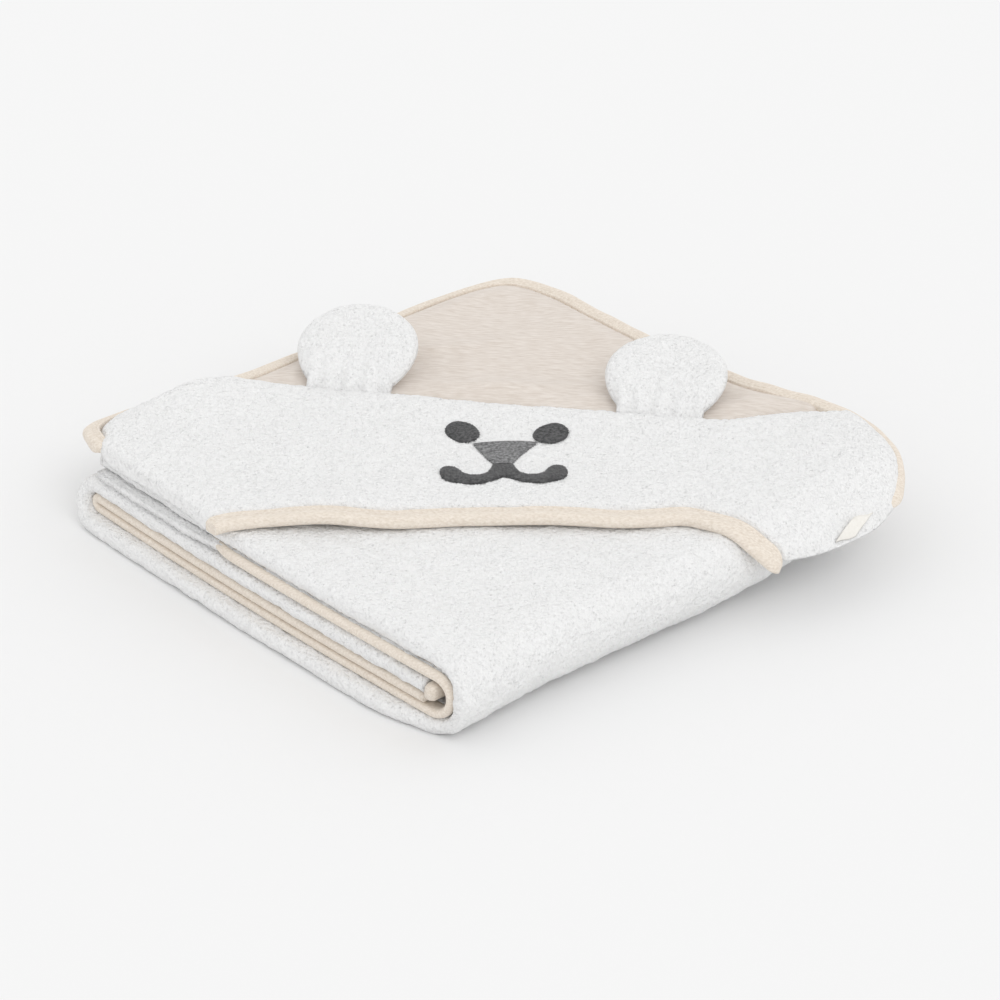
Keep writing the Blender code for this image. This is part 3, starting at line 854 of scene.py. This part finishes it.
def mouth_spans():
    """Upright threads that fill the two curves of the mouth, uneven at their lower ends."""
    spans = []
    for k, x in enumerate(np.linspace(-0.0374, 0.0374, 166)):
        top = float(np.interp(abs(x), *MOUTH_TOP.T)) + 0.0002 * math.sin(k * 1.7)
        low = float(np.interp(abs(x), *MOUTH_BOTTOM.T)) + uneven(k, 0.0006, 0.9, 2.3)
        spans.append((MOUTH_WIDTH * x, top, MOUTH_WIDTH * x, low))
    return spans


eyes = {side: satin("eye_" + side, eye_spans(side), CHARCOAL) for side in ("left", "right")}
nose = satin("nose_satin", nose_spans(), GREY, swell=0.0011)
mouth = satin("mouth_satin", mouth_spans(), CHARCOAL, swell=0.0007)


# ---- ears -----------------------------------------------------------------------------------
EAR_RADIUS, EAR_CENTRE = 0.0362, 0.0270
EAR_SEAT = 0.0628
# Each ear's place along the seam, and how far it leans up from the crown.
EARS = {"left": (-0.0895, math.radians(17.0)), "right": (0.0965, math.radians(12.0))}


def ear_outline():
    """A round ear whose sides run straight down behind the seam."""
    angles = np.radians(np.linspace(-44, 224, 140))
    x, y = EAR_RADIUS * np.cos(angles), EAR_CENTRE + EAR_RADIUS * np.sin(angles)
    round_part = np.stack([x * (1 + 0.012 * np.sin(3 * angles)), y], 1)
    return np.vstack([round_part, [(-0.0250, -0.0070), (0.0250, -0.0070)]])


def ear_cloth(side, front):
    hx, lean = EARS[side]
    x, y = hood_to_plan(hx, 0.0)
    pose = (Matrix.Translation((x, y, EAR_SEAT)) @ Matrix.Rotation(HOOD_TURN, 4, "Z")
            @ Matrix.Rotation(lean, 4, "X"))
    turn = np.array(pose.to_3x3())
    move = np.array(pose.translation)
    seed = 71 if side == "left" else 83

    def heights(a, b, edge):
        dimple = 0.0026 * np.exp(-((a / 0.016) ** 2 + ((b - 0.024) / 0.018) ** 2))
        pinch = 0.0016 * np.cos(a * 520.0) * np.exp(-b / 0.010)
        puff = rounded(edge, 0.0130) * (0.0058 + 0.0008 * value_noise(a, b, 0.022, seed)) - dimple + pinch
        pile = (terry_pile(a, b, seed) - 0.0004) * smooth(edge / 0.002)
        thick = np.maximum(0.0007 + puff, 0.0012) + pile
        if front:
            return 0.0001 + 0 * a, thick
        return -0.0001 + 0 * a, -np.maximum(0.0006 + rounded(edge, 0.010) * 0.0034, 0.0008) - 0.4 * pile

    def place(a, b, h):
        settle = 0.0062 * np.exp(-np.maximum(b + 0.004, 0.0) / 0.014)
        return np.stack([a, b, h - settle], 1) @ turn.T + move

    step = 0.0013
    name = "ear_%s_%s_cloth" % (side, "front" if front else "back")
    obj = cloth_panel(name, ear_outline(), step if front else 2 * step, heights, place, TERRY, seed=seed)
    outward(obj)
    return obj


ears = {(side, face): ear_cloth(side, face == "front") for side in EARS for face in ("front", "back")}


# ---- label ----------------------------------------------------------------------------------
def loop_label():
    """A blank folded loop of tape, sewn into the wing's edge and turned up over it."""
    start, along = np.array((0.2105, -0.0985)), np.array((0.0100, 0.0084))
    inward = np.array((0.0085, 0.0145))
    points = []
    shares = [(0.0, 0.0004), (0.35, 0.0011), (0.7, 0.0014), (0.96, 0.0012), (1.0, 0.0006), (0.96, 0.0001),
              (0.7, -0.0002), (0.35, -0.0006), (0.0, -0.0012)]
    steps = np.linspace(0, 1, 14)
    for far in steps:
        for share, high in shares:
            hx, hy = start + along * far + inward * (share - 0.12)
            stand = 0.0058 + 0.0078 * share + high + 0.0004 * math.sin(far * 7.0)
            points.append(face_place(np.array([hx]), np.array([hy]), np.array([stand]))[0])
    obj = new_piece("loop_label", points, tube_faces(len(steps), len(shares)), LABEL)
    outward(obj)
    return obj


label = loop_label()


# ---- riding, baking and hiding the CAD's parts ----------------------------------------------
def hood_spot(hx, hy):
    """A point of the seam's level, in the row frame."""
    return Vector((*hood_to_plan(hx, hy), SEAM_Z)) + SHIFT


for obj in (body, edge_tape, body_end, crown, rim_tape, rim_stitch, label):
    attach(obj, "towel")
for obj in (*eyes.values(), nose, mouth):
    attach(obj, "brim")
for (side, face), obj in ears.items():
    place, lean_up = EARS[side]
    foot = hood_spot(place, 0.0) + Vector((0.0, 0.0, 0.0040))
    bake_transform(obj)
left_group = (face_left, hem_left, hem_left_stitch)
right_group = (face_right, hem_right, hem_right_stitch)
for sign, group in ((-1, left_group), (1, right_group)):
    for obj in group:
        hood_spot(sign * BLEND_OUT, 0.0)
        hood_spot(sign * BLEND_IN, 0.0)
        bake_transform(obj)

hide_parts("towel_body", "towel_inner_ply")
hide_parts("body_edge_binding")
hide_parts("body_end_binding")
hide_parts("hood_crown")
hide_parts("hood_perimeter_binding")
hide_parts("hood_face_left", "hood_face_centre")
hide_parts("hood_face_right")
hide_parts("hem_binding_left", "hem_binding_centre")
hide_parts("hem_binding_right")
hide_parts("nose")
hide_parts("mouth")
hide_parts("side_label")
for side, obj in eyes.items():
    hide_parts("eye_" + side)
for (side, face), obj in ears.items():
    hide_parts("ear_%s_%s" % (side, face))


def declare_cut(obj, outline):
    """The area of a flat-cut panel's own outline; the result is not kept."""
    float(abs(signed_area(outline)))


declare_cut(crown, crown_outline())
declare_cut(face_left, half_of(face_full, -1))
declare_cut(face_right, half_of(face_full, 1))
for (side, face), obj in ears.items():
    declare_cut(obj, ear_outline())

# ---- light, floor and camera ----------------------------------------------------------------
bpy.ops.mesh.primitive_plane_add(size=24.0, location=(0.0, 0.0, 0.0))
floor = bpy.context.object
floor.name = "floor"
paper = bpy.data.materials.new("pale_floor")
paper.use_nodes = True
shade = paper.node_tree.nodes["Principled BSDF"].inputs
shade["Base Color"].default_value = (0.856, 0.856, 0.856, 1.0)
shade["Roughness"].default_value = 1.0
shade["Specular IOR Level"].default_value = 0.0
floor.data.materials.append(paper)

world = bpy.data.worlds.new("studio")
world.use_nodes = True
world.node_tree.nodes["Background"].inputs["Color"].default_value = (1.0, 1.0, 1.0, 1.0)
world.node_tree.nodes["Background"].inputs["Strength"].default_value = 0.975
bpy.context.scene.world = world
bpy.context.scene.view_settings.view_transform = "Standard"
bpy.context.scene.view_settings.look = "None"

lamp = bpy.data.lights.new("key", "SUN")
lamp.energy = 0.46
lamp.angle = math.radians(35)
key = bpy.data.objects.new("key", lamp)
key.rotation_euler = Vector((0.55, -0.75, 1.0)).to_track_quat("Z", "Y").to_euler()
bpy.context.scene.collection.objects.link(key)

AIM = SHIFT + Vector((0.0, 0.0, HEIGHT / 2))
DISTANCE = 2.0
around, above = math.radians(5.0), math.radians(29.5)
ray = Vector((math.sin(around) * math.cos(above), -math.cos(around) * math.cos(above), math.sin(above)))
lens = bpy.data.cameras.new("camera")
lens.lens, lens.sensor_width = 124.7, 36.0
lens.clip_end = 60.0
camera = bpy.data.objects.new("camera", lens)
camera.rotation_euler = ray.to_track_quat("Z", "Y").to_euler()
own_axes = camera.rotation_euler.to_matrix()
camera.location = AIM + ray * DISTANCE + own_axes @ Vector((0.0075, 0.0029, 0.0))
bpy.context.scene.collection.objects.link(camera)
bpy.context.scene.camera = camera
